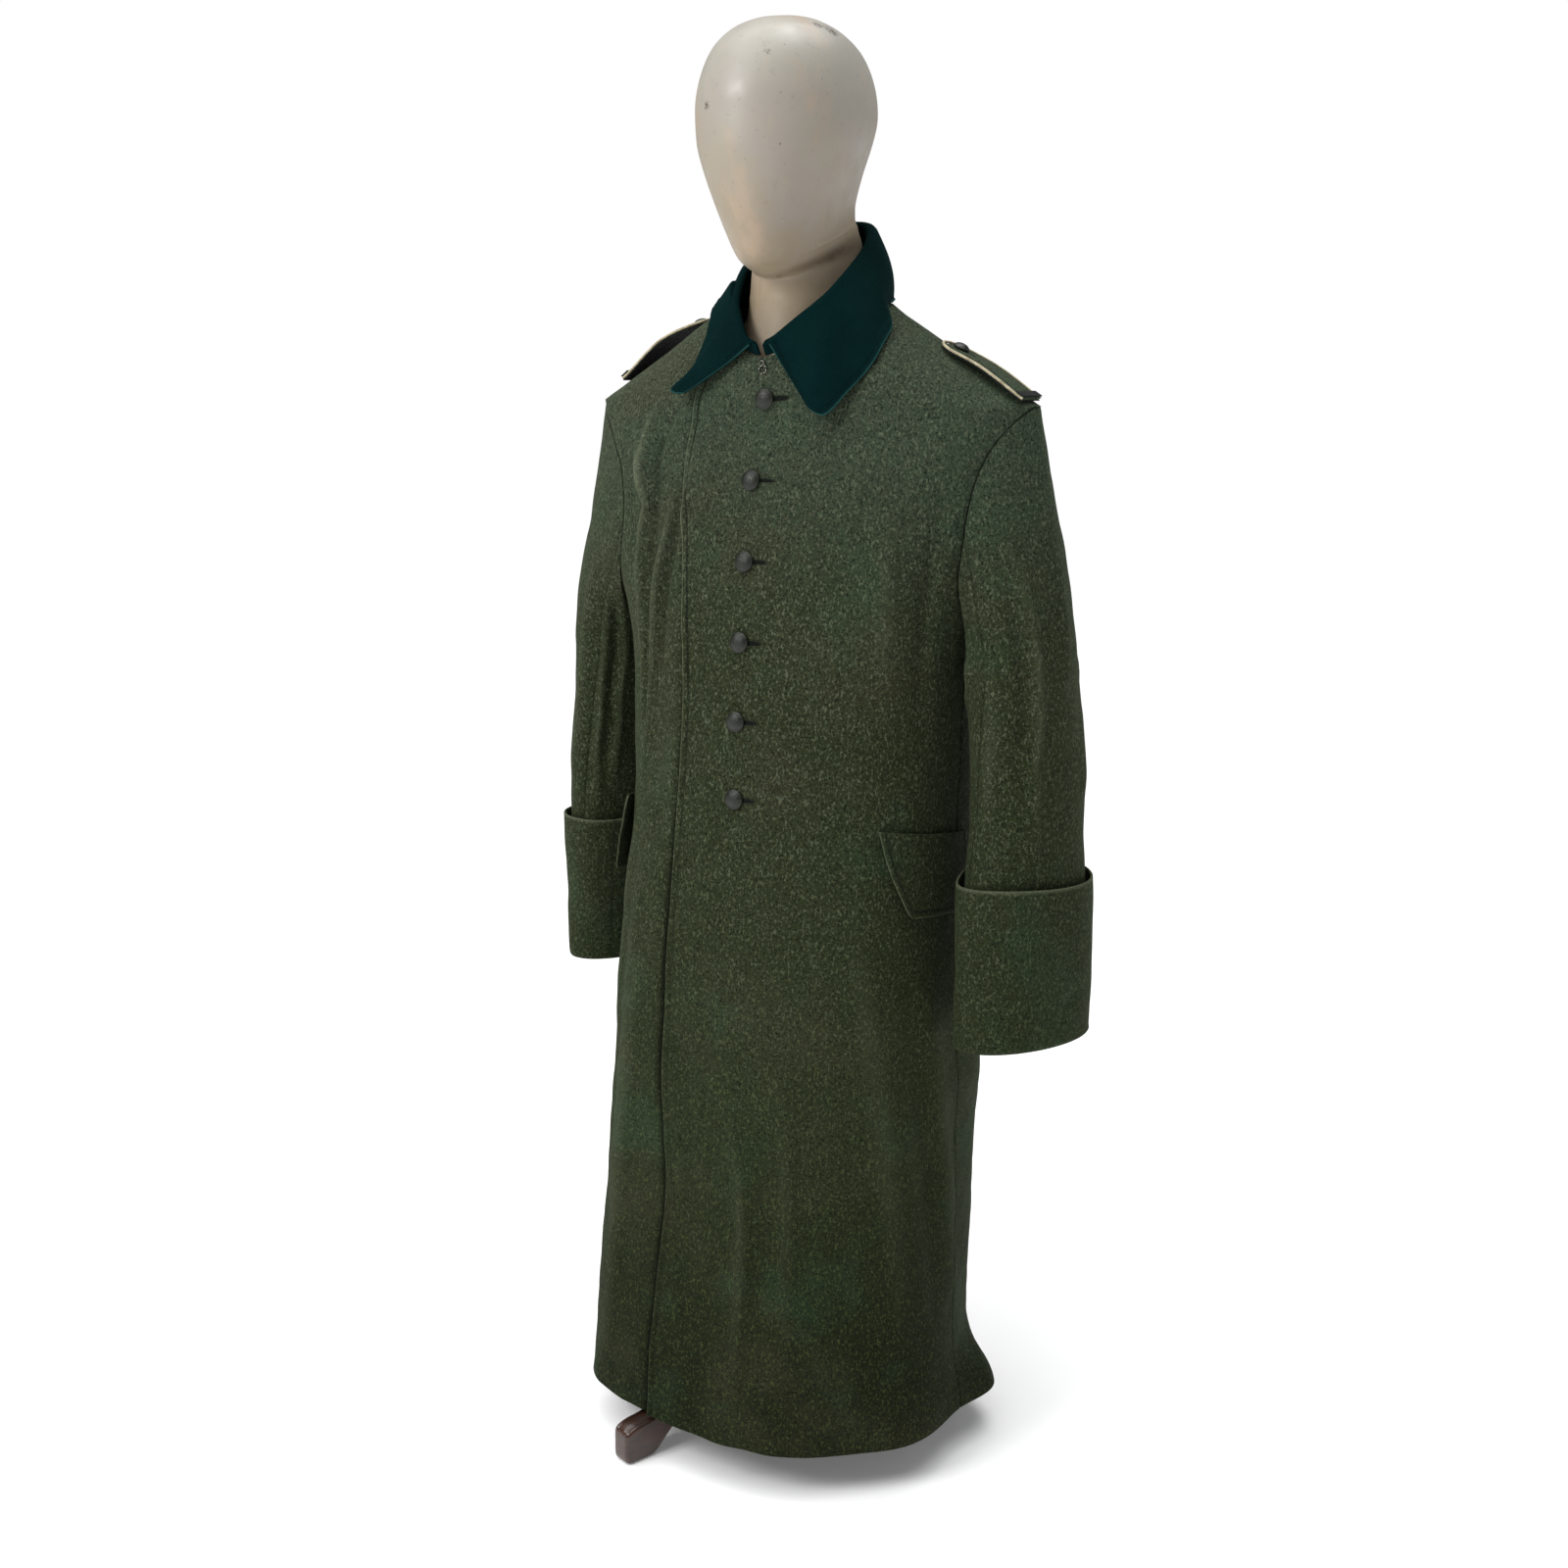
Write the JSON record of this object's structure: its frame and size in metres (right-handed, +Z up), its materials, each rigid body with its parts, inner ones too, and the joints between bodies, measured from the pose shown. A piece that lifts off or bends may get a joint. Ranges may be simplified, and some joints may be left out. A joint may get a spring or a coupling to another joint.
{
  "type": "military greatcoat on a dress form",
  "caption": "Long single-breasted wool greatcoat with a wide collar, turned-back cuffs, hip pocket flaps and shoulder straps, worn by a limbless dress form on a tripod stand.",
  "frame": {"origin": "middle of the overall box, on the floor under the stand's feet", "axes": "+Z up, the coat's front faces -Y, the wearer's left is +X"},
  "size_m": [0.6455, 0.4222, 1.5095],
  "materials": {
    "wool": "brushed field-grey wool",
    "collar_cloth": "smooth dark green wool",
    "piping": "cream braid",
    "underlay": "dark green wool",
    "button_metal": "pebbled olive-grey paint",
    "hook_metal": "blackened wire",
    "form_shell": "aged off-white lacquer",
    "stand_wood": "red-brown varnish"
  },
  "bodies": {
    "root": {"back_left": "wool", "back_right": "wool", "collar": "collar_cloth", "collar_eye": "hook_metal", "collar_hook": "hook_metal", "cuff_left": "wool", "cuff_right": "wool", "form_head": "form_shell", "form_torso": "form_shell", "front_button_1": "button_metal", "front_button_2": "button_metal", "front_button_3": "button_metal", "front_button_4": "button_metal", "front_button_5": "button_metal", "front_button_6": "button_metal", "front_left": "wool", "front_right": "wool", "pocket_flap_left": "wool", "pocket_flap_right": "wool", "sleeve_top_left": "wool", "sleeve_top_right": "wool", "sleeve_under_left": "wool", "sleeve_under_right": "wool", "stand_hub": "stand_wood", "stand_leg_1": "stand_wood", "stand_leg_2": "stand_wood", "stand_leg_3": "stand_wood", "stand_pole": "stand_wood", "strap_button_left": "button_metal", "strap_button_right": "button_metal", "strap_left": "wool", "strap_loop_left": "underlay", "strap_loop_right": "underlay", "strap_piping_left": "piping", "strap_piping_right": "piping", "strap_right": "wool", "strap_underlay_left": "underlay", "strap_underlay_right": "underlay"}
  },
  "joints": []
}
